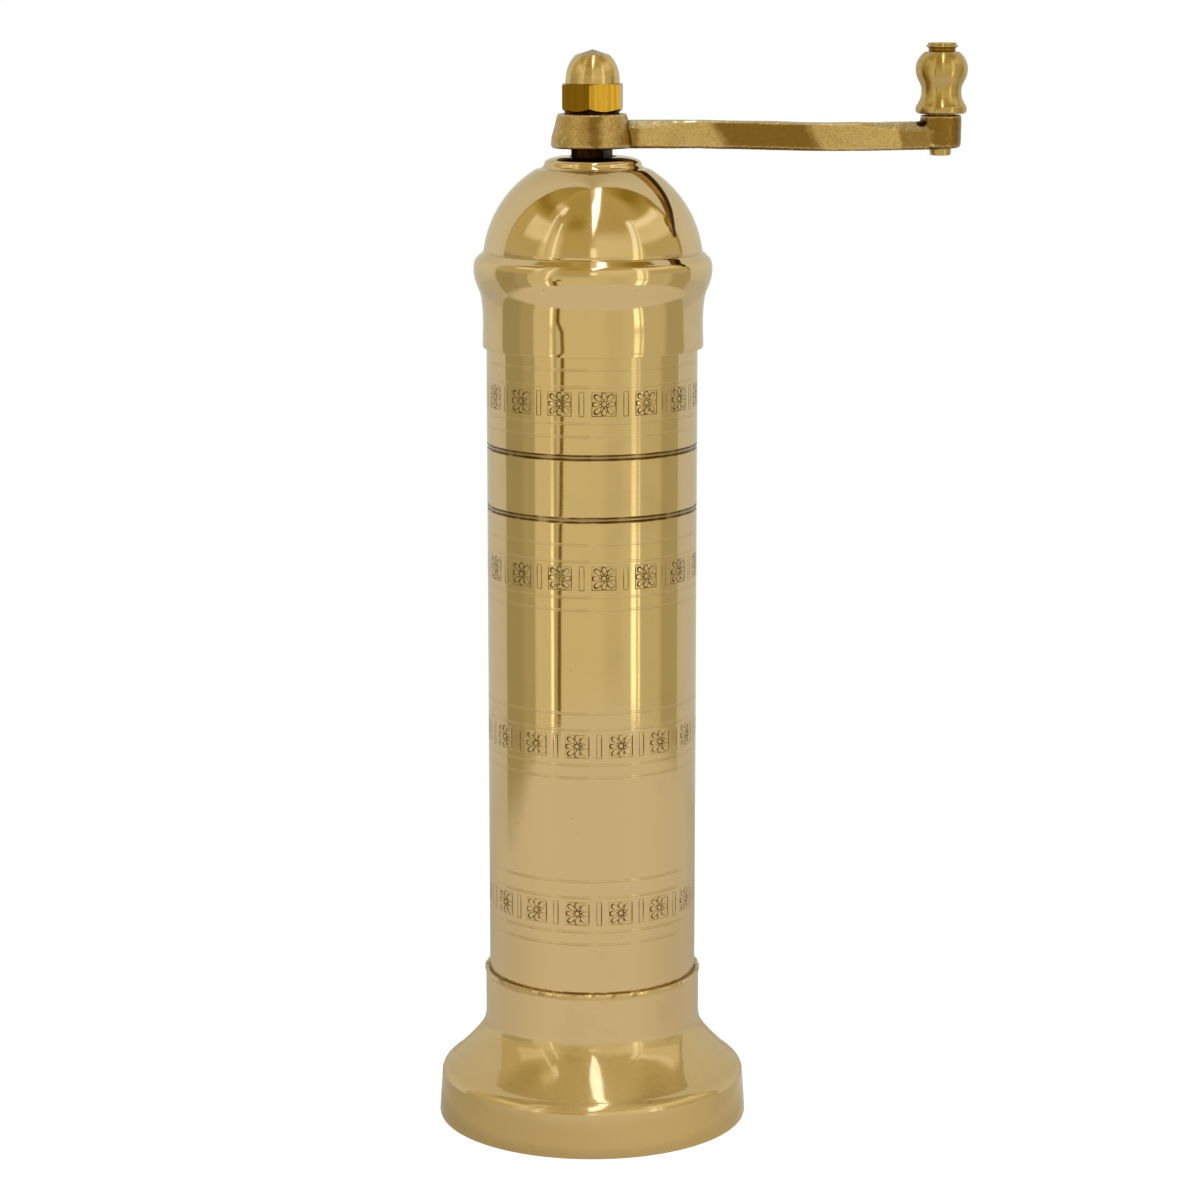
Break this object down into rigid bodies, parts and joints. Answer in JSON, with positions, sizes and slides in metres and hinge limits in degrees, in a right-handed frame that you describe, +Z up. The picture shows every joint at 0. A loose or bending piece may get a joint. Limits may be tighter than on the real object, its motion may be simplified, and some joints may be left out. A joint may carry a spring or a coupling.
{
  "type": "salt mill",
  "caption": "Crank-driven salt mill: engraved tube on a flared foot, lift-off domed cap, square spindle, cast crank with a turning knob, cone burrs set by a thumb screw under the foot.",
  "frame": {"origin": "on the surface that the mill stands on, halfway between the foot's rim and the knob's outer side; the tube's axis is at x -22.3 mm", "axes": "+Z up along the mill's axis, +X along the crank towards its knob, the picture's view looks along +Y"},
  "size_m": [0.1112, 0.0666, 0.2306],
  "materials": {
    "polished_brass": "polished spun brass",
    "engraved_brass": "polished brass with engraved lines and stamped bands",
    "cap_brass": "polished spun brass",
    "cast_brass": "grainy satin cast brass",
    "milled_brass": "milled brass, faint tool lines",
    "turned_brass": "satin turned brass",
    "dark_steel": "oil-blackened steel",
    "plain_steel": "bright steel",
    "burr_steel": "ground stainless steel"
  },
  "bodies": {
    "body": {"base_foot": "polished_brass", "body_tube": "engraved_brass", "outer_burr": "burr_steel", "guide_bridge": "plain_steel", "guide_bush": "turned_brass", "guide_screw_left": "plain_steel", "guide_screw_right": "plain_steel", "carrier_bridge": "plain_steel", "carrier_screw_left": "plain_steel", "carrier_screw_right": "plain_steel", "threaded_boss": "turned_brass", "spring": "plain_steel"},
    "thrust": {"spring_washer": "plain_steel", "thrust_ball": "plain_steel"},
    "adjuster": {"adjusting_screw": "turned_brass"},
    "spindle": {"spindle": "dark_steel", "inner_burr": "burr_steel", "burr_pin": "plain_steel"},
    "crank": {"crank_arm": "cast_brass", "nut_washer": "dark_steel", "acorn_nut": "milled_brass", "knob_pin": "turned_brass"},
    "knob": {"knob": "turned_brass"},
    "cap": {"cap": "cap_brass"}
  },
  "joints": [
    {"name": "grind_lift", "type": "slide", "parent": "body", "child": "thrust", "axis": [0, 0, 1], "range_m": [0, 0.0016], "deforming": ["spring"]},
    {"name": "adjuster_turn", "type": "hinge", "parent": "thrust", "child": "adjuster", "pos_m": [-0.02233, 0, 0.008], "axis": [0, 0, 1], "range_deg": [0, 576]},
    {"name": "crank_turn", "type": "hinge", "parent": "thrust", "child": "spindle", "pos_m": [-0.02233, 0, 0.1], "axis": [0, 0, 1], "continuous": true},
    {"name": "crank_lift", "type": "slide", "parent": "spindle", "child": "crank", "axis": [0, 0, 1], "range_m": [0, 0.066]},
    {"name": "knob_spin", "type": "hinge", "parent": "crank", "child": "knob", "pos_m": [0.05017, 0, 0.222], "axis": [0, 0, 1], "continuous": true},
    {"name": "cap_lift", "type": "slide", "parent": "body", "child": "cap", "axis": [0, 0, 1], "range_m": [0, 0.066]}
  ],
  "couplings": [
    {"joint": "adjuster_turn", "follows": "grind_lift", "rad_per_m": 6283.2},
    {"joint": "cap_lift", "follows": "crank_lift", "ratio": 1}
  ]
}
